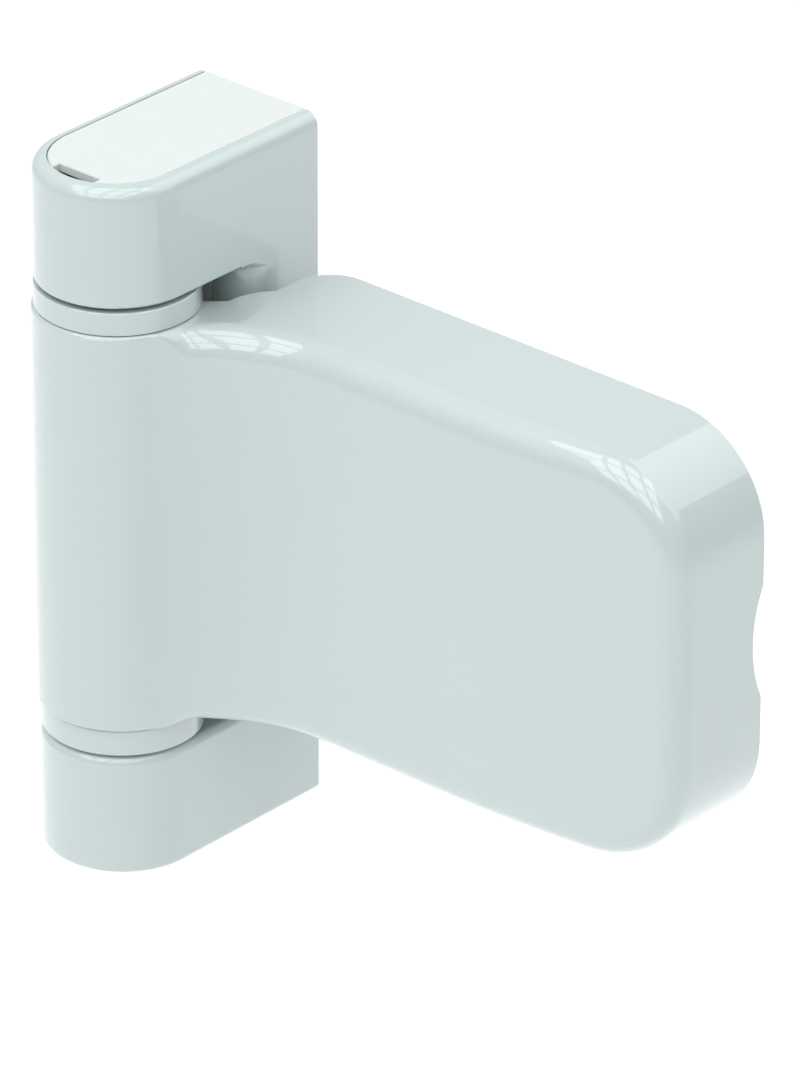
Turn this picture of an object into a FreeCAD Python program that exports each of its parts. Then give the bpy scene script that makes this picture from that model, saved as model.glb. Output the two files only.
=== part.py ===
import FreeCAD, Part
import math
import os

import Sketcher

# Three-part flag hinge for a door, adjustable in height, sideways and in compression.
# Axes: X runs along the flag, Y runs into the wall, Z is up. The origin lies on the mounting plane,
# behind the pin and level with the middle of the sash barrel. Every sub-part is drawn about the pin,
# and its Placement carries it in front of the mounting plane. Lengths are millimetres.

DIMENSIONS = (
    # frame part
    ("axis_standoff", 26.8),       # pin axis to mounting plane
    ("knuckle_radius", 11.0),      # half the width of the frame part
    ("frame_top", 50.1),           # top of the frame part above the barrel's middle
    ("frame_bottom", 50.9),        # bottom of the frame part below the barrel's middle
    ("gap_top", 33.0),             # underside of the upper knuckle
    ("gap_bottom", 33.25),         # upper side of the lower knuckle, below the middle
    ("web_front", 12.4),           # front face of the web behind the barrel
    ("web_corner", 4.5),           # rounded front corners of the web
    ("web_root", 1.4),             # hollow rounding between the web and the knuckles
    ("notch_front", 11.9),         # how far back the knuckles' edges are rounded
    ("crown_round", 1.9),          # rounding of the frame part's top edge
    ("foot_round", 1.0),           # rounding of the frame part's bottom edge
    ("shoulder_round", 1.1),       # rounding of the lower knuckle's upper edge
    ("brow_round", 0.4),           # rounding of the upper knuckle's lower edge
    ("frame_hole_outer", 24.0),    # frame screw holes above and below the middle
    ("frame_hole_inner", 8.0),
    ("frame_countersink", 2.3),
    ("screw_hole", 2.75),          # radius of every fixing screw hole
    ("hole_relief", 0.4),          # how much wider the seals' holes are
    ("seal_half", 8.9),            # foam seal in the frame part's back
    ("seal_end", 47.9),
    ("seal_thick", 0.8),
    ("seal_play", 0.1),
    # cap plates and the strip over the frame screws
    ("cap_half", 8.9),             # half width of the cap plates
    ("cap_thick", 1.2),
    ("cap_seam", 0.12),            # gap round a cap plate
    ("cap_bevel", 0.15),
    ("pry_half", 3.6),             # half width of the pry slot in a cap plate
    ("pry_depth", 2.1),            # how far the pry slot cuts into the plate
    ("leg_inner", 6.4),            # snap-in legs under a cap plate
    ("leg_outer", 7.6),
    ("leg_half", 2.6),
    ("leg_length", 1.9),
    ("well_radius", 8.2),          # hollow under a cap plate
    ("well_floor", 46.6),          # height of the hollow's floor
    ("strip_half", 5.2),           # half width of the cover strip
    ("strip_play", 0.25),
    ("strip_thick", 2.2),
    ("strip_recess", 3.0),         # depth of the strip's recess in the web
    ("strip_round", 0.4),
    ("strip_foot_z", 16.0),        # clip feet on the strip's back
    ("strip_foot_half", 1.8),
    # pin, bushes and height screw
    ("eccentric", 0.5),            # offset between bush axis and pin axis
    ("bush_radius", 7.45),
    ("bush_clear", 0.2),           # how far a bush stays inside its knuckle
    ("bush_end", 45.0),            # outer end of an eccentric bush
    ("bush_bevel", 0.5),
    ("key_depth", 2.6),            # hexagon socket in the upper bush
    ("key_width", 8.0),
    ("spanner_half", 1.3),         # slot across the lower bush
    ("spanner_depth", 1.6),
    ("fit", 0.05),                 # radial clearance of a running fit
    ("groove_start", 0.15),        # circlip groove beyond the bush's end
    ("groove_width", 1.2),
    ("groove_depth", 0.65),
    ("clip_play", 0.05),           # clearance between circlip and groove
    ("clip_lip", 0.9),             # how far a circlip stands in over the bush
    ("clip_mouth", 2.9),           # half the circlip's opening
    ("pin_radius", 4.5),
    ("pin_bevel", 0.7),
    ("pin_top", 41.9),
    ("pin_foot", 38.3),
    ("shoulder_radius", 7.0),      # pin shoulder that carries the sash
    ("shoulder_low", 32.5),
    ("shoulder_high", 30.45),
    ("screw_radius", 4.0),         # height screw
    ("screw_room", 0.5),           # the pin's bore runs this far below its foot
    ("screw_foot", 44.2),
    ("screw_bevel", 0.6),
    ("screw_key", 4.0),
    ("screw_key_depth", 3.4),
    # bearing rings and liner
    ("ring_gap", 0.1),             # seam between a bearing ring and the barrel
    ("ring_height_upper", 3.25),
    ("ring_height_lower", 3.65),
    ("ring_radius_upper", 11.1),
    ("ring_radius_lower", 10.9),
    ("ring_bevel", 0.1),
    ("spigot_radius", 6.5),
    ("spigot_length", 14.2),
    ("liner_gap", 0.4),            # between the liner and each spigot
    # sash cover
    ("barrel_radius", 11.4),
    ("barrel_half", 29.1),         # half the barrel's height
    ("wall", 1.8),                 # shell thickness
    ("sweep_radius", 24.0),        # hollow sweep from barrel to flag
    ("flag_front", 5.4),           # front face of the flag behind the pin axis
    ("flat_end", 50.0),            # where the front face starts to curve back
    ("crown_radius", 210.0),       # gentle curve of the front face
    ("flag_right", 88.6),
    ("flag_left", 13.6),
    ("flag_back", 25.7),
    ("corner_radius", 14.3),       # elevation corners of the flag
    ("heel_radius", 6.0),          # plan corner at the back left of the flag
    ("neck_join", 8.8),            # where the neck's back meets the barrel
    ("bend_across", 10.96),        # where the neck's back starts to curve
    ("bend_depth", 9.4),
    ("neck_round", 9.0),           # radius of that curve
    ("neck_back", 15.8),           # where it meets the flag's left side
    ("slit_left", 9.4),            # left edge of the opening in the barrel's back
    ("slit_wall", 0.2),            # how much thinner the barrel's left wall is
    ("passage_back", 13.0),        # the pin passage through the cover's ends
    ("boss_play", 0.3),
    ("edge_round", 3.6),           # rounding of the flag's front edges
    ("round_faint", 0.45),         # rounding of the barrel's edges
    ("round_part", 3.0),           # rounding between the two, on the hollow sweep
    ("fade_across", 10.8),         # where the rounding starts to grow
    ("part_across", 13.0),         # where it has the size between
    ("blend_end", 16.0),           # where it has its full size
    ("notch_radius", 18.5),        # pry notch in the right edge
    ("notch_depth", 1.85),
    ("notch_z", 0.05),
    ("notch_reach", 4.0),
    ("post_x", 69.5),              # cover posts
    ("post_z", 9.8),
    ("post_root", 0.15),           # where a post starts, in the thickness of the curved front
    ("post_radius", 2.1),
    ("post_bevel", 0.5),
    # sash casting
    ("casting_radius", 9.2),       # barrel of the casting
    ("casting_play", 0.1),
    ("back_half", 9.0),            # solid back of the casting's barrel, in the cover's opening
    ("back_play", 0.2),
    ("boss_radius", 8.2),
    ("boss_step", 0.15),
    ("plate_left", 15.0),
    ("neck_right", 15.5),
    ("neck_inner", 7.6),           # where the neck's back enters the casting's barrel
    ("plate_front", 18.5),         # sliding plate
    ("plate_back", 22.5),
    ("plate_half", 14.0),
    ("plate_right", 74.0),
    ("rib_front", 12.0),
    ("rib_right", 60.0),
    ("rib_z", 10.0),
    ("rib_half", 1.25),
    ("lug_left", 66.0),            # lug that holds the lateral screw
    ("lug_right", 73.0),
    ("lug_front", 11.0),
    ("lug_half", 4.8),
    ("grommet_hole", 3.2),
    ("grommet_radius", 3.15),
    ("grommet_bore", 2.15),
    ("flange_radius", 4.0),
    ("flange_thick", 1.4),
    # lateral screw
    ("lateral_axis", 14.2),        # its axis behind the pin axis
    ("journal_radius", 2.0),
    ("journal_left", 62.8),
    ("collar_radius", 3.6),
    ("collar_left", 73.3),
    ("collar_right", 74.2),
    ("lateral_radius", 2.45),
    ("lateral_end", 84.4),
    ("lateral_key", 2.5),
    ("lateral_key_depth", 2.8),
    ("cross_half", 0.25),          # screwdriver slit in the screw's end
    ("cross_depth", 0.4),
    ("e_clip_left", 64.9),
    ("e_clip_right", 65.8),
    ("e_clip_mouth", 1.5),
    # base on the door
    ("base_front", 22.7),          # floor of the base plate
    ("base_half", 25.0),
    ("base_left", 19.0),
    ("base_right", 82.0),
    ("base_corner", 10.0),
    ("rail_front", 16.0),
    ("rail_low", 14.3),
    ("rail_high", 16.1),
    ("rail_right", 75.0),
    ("nut_left", 77.5),            # lug that the lateral screw is threaded into
    ("nut_right", 81.5),
    ("nut_front", 10.6),
    ("nut_half", 5.0),
    ("clamp_first", 32.0),         # clamp screws
    ("clamp_second", 54.0),
    ("clamp_radius", 3.0),
    ("clamp_short", 0.2),          # how far the shank stays inside the base plate
    ("clamp_head", 5.0),
    ("clamp_head_high", 3.3),
    ("clamp_crown", 1.6),
    ("clamp_key", 4.0),
    ("clamp_key_depth", 2.0),
    ("slot_half", 3.3),            # slots for the clamp screws
    ("slot_travel", 3.2),
    ("washer_radius", 6.5),
    ("washer_thick", 1.2),
    ("spring_thick", 1.0),
    ("washer_bore", 3.05),
    ("split_half", 0.3),
    ("door_hole_x", 28.0),         # first column of door screw holes
    ("door_hole_step", 22.5),
    ("door_hole_z", 20.5),
    ("door_countersink", 1.4),
    ("door_seal_inset", 0.5),
)

FRONT = FreeCAD.Vector(0, 0, 1)
TOLERANCE = 1e-4    # how near counts as on an edge
OVERCUT = 2.0       # how far a cut runs past the solid


class Size:
    """A number together with the spreadsheet expression that gives it."""

    def __init__(self, value, text):
        self.value = value
        self.text = text

    def __add__(self, other):
        other = size(other)
        return Size(self.value + other.value, "(%s + %s)" % (self.text, other.text))

    def __sub__(self, other):
        other = size(other)
        return Size(self.value - other.value, "(%s - %s)" % (self.text, other.text))

    def __mul__(self, other):
        other = size(other)
        return Size(self.value * other.value, "(%s * %s)" % (self.text, other.text))

    def __truediv__(self, other):
        other = size(other)
        return Size(self.value / other.value, "(%s / %s)" % (self.text, other.text))

    def __neg__(self):
        return Size(-self.value, "(-%s)" % self.text)


def size(item):
    """Turn a plain number into a Size; leave a Size alone."""
    if isinstance(item, Size):
        return item
    return Size(float(item), "(%s)" % repr(float(item)))


def root(item):
    return Size(math.sqrt(item.value), "sqrt(%s)" % item.text)


class Dims:
    """The named driving dimensions as attributes."""


DOC = FreeCAD.newDocument("flag_hinge")
D = Dims()


def fill_sheet():
    sheet = DOC.addObject("Spreadsheet::Sheet", "Dims")
    for row, (name, value) in enumerate(DIMENSIONS, 1):
        sheet.set("A%d" % row, name)
        sheet.set("B%d" % row, str(value))
        sheet.setAlias("B%d" % row, name)
        setattr(D, name, Size(value, "Dims.%s" % name))
    DOC.recompute()


# ---- drawing helpers -------------------------------------------------------------------------


def bind(item, path, amount):
    item.setExpression(path, size(amount).text)


def new_body(label):
    body = DOC.addObject("PartDesign::Body", label)
    body.Label = label
    return body


def place(item):
    """Carry a sub-part that was drawn about the pin in front of the mounting plane."""
    item.Placement = FreeCAD.Placement(FreeCAD.Vector(0, -D.axis_standoff.value, 0), FreeCAD.Rotation())
    bind(item, "Placement.Base.y", -D.axis_standoff)


def new_sketch(body, name, role, offset):
    """A sketch on one of the body's origin planes, moved along the plane's normal."""
    plane = [feature for feature in body.Origin.OriginFeatures if feature.Role == role][0]
    sketch = body.newObject("Sketcher::SketchObject", name)
    sketch.AttachmentSupport = [(plane, "")]
    sketch.MapMode = "FlatFace"
    bind(sketch, "AttachmentOffset.Base.z", offset)
    return sketch


def pin_point(sketch, geometry, end, across, up):
    """Fix one point of a sketch at driven distances from the sketch's origin."""
    for kind, axis, amount in (("DistanceX", -2, across), ("DistanceY", -1, up)):
        amount = size(amount)
        if abs(amount.value) < TOLERANCE:
            sketch.addConstraint(Sketcher.Constraint("PointOnObject", geometry, end, axis))
        else:
            index = sketch.addConstraint(Sketcher.Constraint(kind, -1, 1, geometry, end, amount.value))
            bind(sketch, "Constraints[%d]" % index, amount)


def fix_radius(sketch, geometry, radius):
    radius = size(radius)
    index = sketch.addConstraint(Sketcher.Constraint("Radius", geometry, radius.value))
    bind(sketch, "Constraints[%d]" % index, radius)


def fix_middle(sketch, geometry, corner, following):
    """Keep a half circle's centre midway between its ends."""
    wide = abs(size(corner[0] - following[0]).value) > abs(size(corner[1] - following[1]).value)
    part, kind, axis = (1, "DistanceY", -1) if wide else (0, "DistanceX", -2)
    middle = (size(corner[part]) + following[part]) / 2
    if abs(middle.value) < TOLERANCE:
        sketch.addConstraint(Sketcher.Constraint("PointOnObject", geometry, 3, axis))
    else:
        index = sketch.addConstraint(Sketcher.Constraint(kind, -1, 1, geometry, 3, middle.value))
        bind(sketch, "Constraints[%d]" % index, middle)


def circle(sketch, across, up, radius):
    across, up, radius = size(across), size(up), size(radius)
    centre = FreeCAD.Vector(across.value, up.value, 0)
    geometry = sketch.addGeometry(Part.Circle(centre, FRONT, radius.value))
    fix_radius(sketch, geometry, radius)
    pin_point(sketch, geometry, 3, across, up)


def arc_between(start, end, radius, turn):
    """The shorter arc from start to end; turn is +1 for counter-clockwise, -1 for clockwise."""
    chord = end - start
    half = chord.Length / 2
    rise = math.sqrt(max(radius * radius - half * half, 0.0))
    normal = FreeCAD.Vector(-chord.y, chord.x, 0).normalize()
    centre = start + chord * 0.5 + normal * rise * turn
    first = math.atan2(start.y - centre.y, start.x - centre.x)
    last = math.atan2(end.y - centre.y, end.x - centre.x)
    if turn < 0:
        first, last = last, first
    return Part.ArcOfCircle(Part.Circle(centre, FRONT, radius), first, last)


def outline(sketch, corners):
    """A closed outline. A corner is (x, y) or (x, y, radius, turn) for an arc to the next corner."""
    points = []
    for corner in corners:
        points.append(FreeCAD.Vector(size(corner[0]).value, size(corner[1]).value, 0))
    ends = []
    for index, corner in enumerate(corners):
        start = points[index]
        end = points[(index + 1) % len(points)]
        if len(corner) == 2:
            geometry = sketch.addGeometry(Part.LineSegment(start, end))
            ends.append((geometry, 1, 2))
        else:
            turn = corner[3]
            geometry = sketch.addGeometry(arc_between(start, end, size(corner[2]).value, turn))
            if abs((end - start).Length / 2 - size(corner[2]).value) < TOLERANCE:
                fix_middle(sketch, geometry, corner, corners[(index + 1) % len(corners)])
            else:
                fix_radius(sketch, geometry, corner[2])
            ends.append((geometry, 1, 2) if turn > 0 else (geometry, 2, 1))
    for index, corner in enumerate(corners):
        geometry, first, last = ends[index]
        following = ends[(index + 1) % len(ends)]
        sketch.addConstraint(Sketcher.Constraint("Coincident", geometry, last, following[0], following[1]))
        pin_point(sketch, geometry, first, corner[0], corner[1])


def round_plan(across, radius):
    """One circle on the sketch's first axis."""

    def draw(sketch):
        circle(sketch, across, 0, radius)

    return draw


def box_outline(sketch, left, right, low, high):
    outline(sketch, ((left, low), (right, low), (right, high), (left, high)))


def rising(first, second):
    """Two heights, the lower one first."""
    return (first, second) if first.value < second.value else (second, first)


def extrude(body, kind, sketch, length, name, reverse=False):
    """A Pad along the sketch's normal or a Pocket against it; reverse turns either round."""
    feature = body.newObject("PartDesign::" + kind, name)
    feature.Profile = sketch
    bind(feature, "Length", length)
    feature.Reversed = reverse
    sketch.Visibility = False
    DOC.recompute()
    return feature


def level_pad(body, name, low, high, draw):
    """A Pad from height low to height high; draw puts the plan into its sketch."""
    sketch = new_sketch(body, name + "_plan", "XY_Plane", low)
    draw(sketch)
    return extrude(body, "Pad", sketch, size(high) - low, name)


def level_cut(body, name, low, high, draw):
    """A Pocket from height high down to height low."""
    sketch = new_sketch(body, name + "_plan", "XY_Plane", high)
    draw(sketch)
    before = body.Shape.Volume
    feature = extrude(body, "Pocket", sketch, size(high) - low, name)
    check_cut(body, name, before)
    return feature


def depth_pad(body, name, near, far, draw):
    """A Pad from depth far towards the viewer, up to depth near; its sketch is an elevation."""
    sketch = new_sketch(body, name + "_elevation", "XZ_Plane", -size(far))
    draw(sketch)
    return extrude(body, "Pad", sketch, size(far) - near, name)


def depth_cut(body, name, near, far, draw):
    """A Pocket that starts at depth near and goes back to depth far."""
    sketch = new_sketch(body, name + "_elevation", "XZ_Plane", -size(near))
    draw(sketch)
    before = body.Shape.Volume
    feature = extrude(body, "Pocket", sketch, size(far) - near, name)
    check_cut(body, name, before)
    return feature


def side_pad(body, name, left, right, draw):
    """A Pad along X from left to right; its sketch has Y across and Z up."""
    sketch = new_sketch(body, name + "_profile", "YZ_Plane", left)
    draw(sketch)
    return extrude(body, "Pad", sketch, size(right) - left, name)


def side_cut(body, name, left, right, draw):
    """A Pocket along X from right back to left."""
    sketch = new_sketch(body, name + "_profile", "YZ_Plane", right)
    draw(sketch)
    before = body.Shape.Volume
    feature = extrude(body, "Pocket", sketch, size(right) - left, name)
    check_cut(body, name, before)
    return feature


def check_cut(body, name, before):
    if not body.Shape.Volume < before - TOLERANCE:
        raise RuntimeError("%s: %s removes nothing" % (body.Label, name))


def turned(label, corners):
    """A body turned about the pin axis; corners are (radius, height) pairs."""
    body = new_body(label)
    sketch = new_sketch(body, label + "_profile", "XZ_Plane", 0)
    outline(sketch, corners)
    feature = body.newObject("PartDesign::Revolution", label + "_turning")
    feature.Profile = sketch
    feature.ReferenceAxis = (sketch, ["V_Axis"])
    feature.Angle = 360
    DOC.recompute()
    return body


def samples(edge):
    span = edge.LastParameter - edge.FirstParameter
    return [edge.valueAt(edge.FirstParameter + span * step / 6.0) for step in range(7)]


def edges_where(shape, test):
    """Names of the edges all of whose sample points pass the test."""
    names = []
    for index, edge in enumerate(shape.Edges, 1):
        if all(test(point) for point in samples(edge)):
            names.append("Edge%d" % index)
    return names


def dress(body, kind, name, amount, test):
    """A Fillet or Chamfer on the edges that pass the test."""
    base = body.Tip
    names = edges_where(base.Shape, test)
    if not names:
        raise RuntimeError("%s: %s finds no edge" % (body.Label, name))
    feature = body.newObject("PartDesign::" + kind, name)
    feature.Base = (base, names)
    bind(feature, "Radius" if kind == "Fillet" else "Size", amount)
    DOC.recompute()
    return feature


def near(value, target):
    return abs(value - size(target).value) < TOLERANCE


def radius_at(point, across=0.0, back=0.0):
    return math.hypot(point.x - across, point.y - back)


# ---- frame part --------------------------------------------------------------------------------


def stadium(half_width, back):
    """Plan with a half round nose about the pin and straight sides to the back."""

    def draw(sketch):
        outline(sketch, ((-half_width, 0, half_width, 1), (half_width, 0),
                         (half_width, back), (-half_width, back)))

    return draw


def web_gap_plan(sketch):
    """Plan of the waste in front of the web's rounded corners and along its sides."""
    side = D.knuckle_radius
    reach = side + OVERCUT
    inner = side - D.web_corner
    shoulder = D.web_front + D.web_corner
    behind = D.axis_standoff + OVERCUT
    outline(sketch, ((-reach, side / 2), (reach, side / 2), (reach, behind), (side, behind),
                     (side, shoulder, D.web_corner, -1), (inner, D.web_front),
                     (-inner, D.web_front, D.web_corner, -1), (-side, shoulder), (-side, behind),
                     (-reach, behind)))


def on_web(point):
    """True on the web's front, its rounded corners and its sides."""
    inner = D.knuckle_radius.value - D.web_corner.value
    shoulder = D.web_front.value + D.web_corner.value
    across = abs(point.x)
    if across < inner + TOLERANCE:
        return near(point.y, D.web_front)
    if point.y > shoulder - TOLERANCE:
        return near(across, D.knuckle_radius)
    return near(math.hypot(across - inner, point.y - shoulder), D.web_corner)


def web_gap():
    """The waste in front of the web, as a solid to cut away; its edges leave the hollow roundings."""
    body = new_body("web_gap")
    level_pad(body, "waste", -D.gap_bottom, D.gap_top, web_gap_plan)
    dress(body, "Fillet", "root", D.web_root,
          lambda p: on_web(p) and (near(p.z, D.gap_top) or near(-p.z, D.gap_bottom)))
    return body


def cut_away(body, name, tool):
    """Cut one body out of another."""
    before = body.Shape.Volume
    feature = body.newObject("PartDesign::Boolean", name)
    feature.Type = "Cut"
    feature.addObjects([tool])
    DOC.recompute()
    check_cut(body, name, before)
    return feature


def on_nose(point):
    """True on the frame part's outer outline, not on its back."""
    on_side = near(abs(point.x), D.knuckle_radius) and point.y > -TOLERANCE
    return on_side or (near(radius_at(point), D.knuckle_radius) and point.y < TOLERANCE)


def on_frame_hole(point):
    """True on the front rim of a frame screw hole."""
    if not near(point.y, D.web_front + D.strip_recess):
        return False
    height = abs(point.z)
    return any(near(math.hypot(point.x, height - hole.value), D.screw_hole)
               for hole in (D.frame_hole_outer, D.frame_hole_inner))


def frame_circles(radius):
    def draw(sketch):
        for height in (D.frame_hole_outer, D.frame_hole_inner):
            circle(sketch, 0, height, radius)
            circle(sketch, 0, -height, radius)

    return draw


def frame_bracket():
    """Fixed part: two knuckles on a web, with the bush bores, the strip's and the seal's recesses."""
    body = new_body("frame_bracket")
    level_pad(body, "blank", -D.frame_bottom, D.frame_top, stadium(D.knuckle_radius, D.axis_standoff))
    dress(body, "Fillet", "crown", D.crown_round, lambda p: near(p.z, D.frame_top) and on_nose(p))
    dress(body, "Fillet", "foot", D.foot_round, lambda p: near(p.z, -D.frame_bottom) and on_nose(p))
    reach = D.knuckle_radius + OVERCUT
    level_cut(body, "front_gap", -D.gap_bottom, D.gap_top,
              lambda sketch: box_outline(sketch, -reach, reach, -reach, D.notch_front))
    dress(body, "Fillet", "shoulder", D.shoulder_round,
          lambda p: near(-p.z, D.gap_bottom) and near(radius_at(p), D.knuckle_radius))
    dress(body, "Fillet", "brow", D.brow_round,
          lambda p: near(p.z, D.gap_top) and near(radius_at(p), D.knuckle_radius))
    cut_away(body, "gap", web_gap())
    seat = stadium(D.cap_half + D.cap_seam, D.axis_standoff + OVERCUT)
    level_cut(body, "upper_seat", D.frame_top - D.cap_thick, D.frame_top, seat)
    level_cut(body, "lower_seat", -D.frame_bottom, D.cap_thick - D.frame_bottom, seat)
    for side, low, high in (("upper", D.well_floor, D.frame_top), ("lower", -D.frame_bottom, -D.well_floor)):
        level_cut(body, side + "_well", low, high, round_plan(0, D.well_radius))
    bore = round_plan(-D.eccentric, D.bush_radius + D.fit)
    for side, low, high in (("upper", D.gap_top, D.well_floor), ("lower", -D.well_floor, -D.gap_bottom)):
        level_cut(body, side + "_bore", low, high, bore)
    groove = round_plan(-D.eccentric, D.bush_radius + D.groove_depth)
    start = D.bush_end + D.groove_start
    end = start + D.groove_width
    for side, low, high in (("upper", start, end), ("lower", -end, -start)):
        level_cut(body, side + "_groove", low, high, groove)
    half = D.strip_half + D.strip_play
    depth_cut(body, "strip_recess", D.web_front - OVERCUT, D.web_front + D.strip_recess,
              lambda sketch: box_outline(sketch, -half, half, -D.gap_bottom, D.gap_top))
    wide = D.seal_half + D.seal_play
    high = D.seal_end + D.seal_play
    depth_cut(body, "seal_recess", D.axis_standoff - D.seal_thick, D.axis_standoff + OVERCUT,
              lambda sketch: box_outline(sketch, -wide, wide, -high, high))
    depth_cut(body, "screw_holes", D.web_front + D.strip_recess - OVERCUT, D.axis_standoff,
              frame_circles(D.screw_hole))
    dress(body, "Chamfer", "countersinks", D.frame_countersink, on_frame_hole)
    place(body)
    return body


def cap_plan(sketch):
    """Plan of a cap plate: a stadium with a pry slot in the middle of its nose."""
    half = D.pry_half
    slot = D.cap_half - D.pry_depth
    edge = root(D.cap_half * D.cap_half - half * half)
    outline(sketch, ((-D.cap_half, 0, D.cap_half, 1), (-half, -edge), (-half, -slot), (half, -slot),
                     (half, -edge, D.cap_half, 1), (D.cap_half, 0),
                     (D.cap_half, D.axis_standoff), (-D.cap_half, D.axis_standoff)))


def cap_plate(label, sign):
    """A snap-in plate that closes one end of the frame part; sign is +1 at the top."""
    body = new_body(label)
    face = (D.frame_top if sign > 0 else D.frame_bottom) * sign
    inner = face - D.cap_thick * sign
    leg_end = inner - D.leg_length * sign
    level_pad(body, "plate", *rising(inner, face), cap_plan)
    for side, left, right in (("left", -D.leg_outer, -D.leg_inner), ("right", D.leg_inner, D.leg_outer)):
        level_pad(body, side + "_leg", *rising(leg_end, inner),
                  lambda sketch: box_outline(sketch, left, right, -D.leg_half, D.leg_half))
    dress(body, "Chamfer", "plate_edge", D.cap_bevel,
          lambda p: near(p.z, face) and p.y < D.axis_standoff.value - TOLERANCE)
    place(body)
    return body


def web_cover_strip():
    """Clip-in strip that hides the frame screws behind the barrel."""
    body = new_body("web_cover_strip")
    back = D.web_front + D.strip_thick
    half = D.strip_half
    high = D.gap_top - D.strip_play
    low = D.strip_play - D.gap_bottom
    depth_pad(body, "strip", D.web_front, back, lambda sketch: box_outline(sketch, -half, half, low, high))
    for name, height in (("upper_foot", D.strip_foot_z), ("lower_foot", -D.strip_foot_z)):
        low = height - D.strip_foot_half
        high = height + D.strip_foot_half
        depth_pad(body, name, back, D.web_front + D.strip_recess,
                  lambda sketch: box_outline(sketch, -half, half, low, high))
    dress(body, "Fillet", "edges", D.strip_round,
          lambda p: near(p.y, D.web_front) and near(abs(p.x), half))
    place(body)
    return body


def frame_seal():
    """Foam strip let into the back of the frame part."""
    body = new_body("frame_seal")
    front = D.axis_standoff - D.seal_thick
    depth_pad(body, "strip", front, D.axis_standoff,
              lambda sketch: box_outline(sketch, -D.seal_half, D.seal_half, -D.seal_end, D.seal_end))
    depth_cut(body, "holes", front, D.axis_standoff, frame_circles(D.screw_hole + D.hole_relief))
    place(body)
    return body


def circlip(label, sign):
    """Internal retaining ring that keeps an eccentric bush in its knuckle."""
    body = new_body(label)
    start = (D.bush_end + D.groove_start + D.clip_play) * sign
    end = (D.bush_end + D.groove_start + D.groove_width - D.clip_play) * sign

    def draw(sketch):
        circle(sketch, -D.eccentric, 0, D.bush_radius + D.groove_depth - D.clip_play)
        circle(sketch, -D.eccentric, 0, D.bush_radius - D.clip_lip)

    low, high = rising(start, end)
    level_pad(body, "ring", low, high, draw)
    left = -(D.eccentric + D.clip_mouth)
    right = D.clip_mouth - D.eccentric
    outside = -(D.bush_radius + OVERCUT)
    level_cut(body, "opening", low, high, lambda sketch: box_outline(sketch, left, right, outside, size(0)))
    place(body)
    return body


# ---- compression adjuster, pin and height screw ------------------------------------------------


def hexagon(centre, across_flats):
    """Regular hexagon with two corners level with its centre, which lies on the sketch's first axis."""

    def draw(sketch):
        half = size(across_flats) / 2
        corner = half * (2 / math.sqrt(3))
        outline(sketch, ((centre + corner, 0), (centre + corner / 2, half), (centre - corner / 2, half),
                         (centre - corner, 0), (centre - corner / 2, -half), (centre + corner / 2, -half)))

    return draw


def eccentric_blank(body, low, high):
    """The bush's outside, turned about an axis beside the pin."""
    level_pad(body, "blank", low, high, round_plan(-D.eccentric, D.bush_radius))
    dress(body, "Chamfer", "ends", D.bush_bevel,
          lambda p: near(radius_at(p, -D.eccentric.value), D.bush_radius))


def upper_eccentric_bush():
    body = new_body("upper_eccentric_bush")
    low = D.gap_top + D.bush_clear
    floor = D.bush_end - D.key_depth
    eccentric_blank(body, low, D.bush_end)
    level_cut(body, "socket", floor, D.bush_end, hexagon(size(0), D.key_width))
    level_cut(body, "bore", low, floor, round_plan(0, D.pin_radius + D.fit))
    place(body)
    return body


def lower_eccentric_bush():
    body = new_body("lower_eccentric_bush")
    high = -(D.gap_bottom + D.bush_clear)
    seat = -(D.pin_foot + D.screw_room)
    eccentric_blank(body, -D.bush_end, high)
    level_cut(body, "bore", seat, high, round_plan(0, D.pin_radius + D.fit))
    level_cut(body, "thread", -D.bush_end, seat, round_plan(0, D.screw_radius + D.fit))
    across = D.bush_radius + OVERCUT
    level_cut(body, "spanner_slot", -D.bush_end, D.spanner_depth - D.bush_end,
              lambda sketch: box_outline(sketch, -across, across, -D.spanner_half, D.spanner_half))
    place(body)
    return body


def hinge_pin():
    """Pin with a shoulder that rests in the lower bearing ring and carries the sash."""
    bevelled = D.pin_radius - D.pin_bevel
    body = turned("hinge_pin", (
        (0, -D.pin_foot), (bevelled, -D.pin_foot), (D.pin_radius, D.pin_bevel - D.pin_foot),
        (D.pin_radius, -D.shoulder_low), (D.shoulder_radius, -D.shoulder_low),
        (D.shoulder_radius, -D.shoulder_high), (D.pin_radius, -D.shoulder_high),
        (D.pin_radius, D.pin_top - D.pin_bevel), (bevelled, D.pin_top), (0, D.pin_top)))
    place(body)
    return body


def height_screw():
    """Socket set screw under the pin; its thread is drawn as a plain cylinder."""
    bevelled = D.screw_radius - D.screw_bevel
    body = turned("height_screw", (
        (0, -D.screw_foot), (bevelled, -D.screw_foot), (D.screw_radius, D.screw_bevel - D.screw_foot),
        (D.screw_radius, -(D.pin_foot + D.screw_bevel)), (bevelled, -D.pin_foot), (0, -D.pin_foot)))
    level_cut(body, "socket", -D.screw_foot, D.screw_key_depth - D.screw_foot, hexagon(size(0), D.screw_key))
    place(body)
    return body


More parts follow.
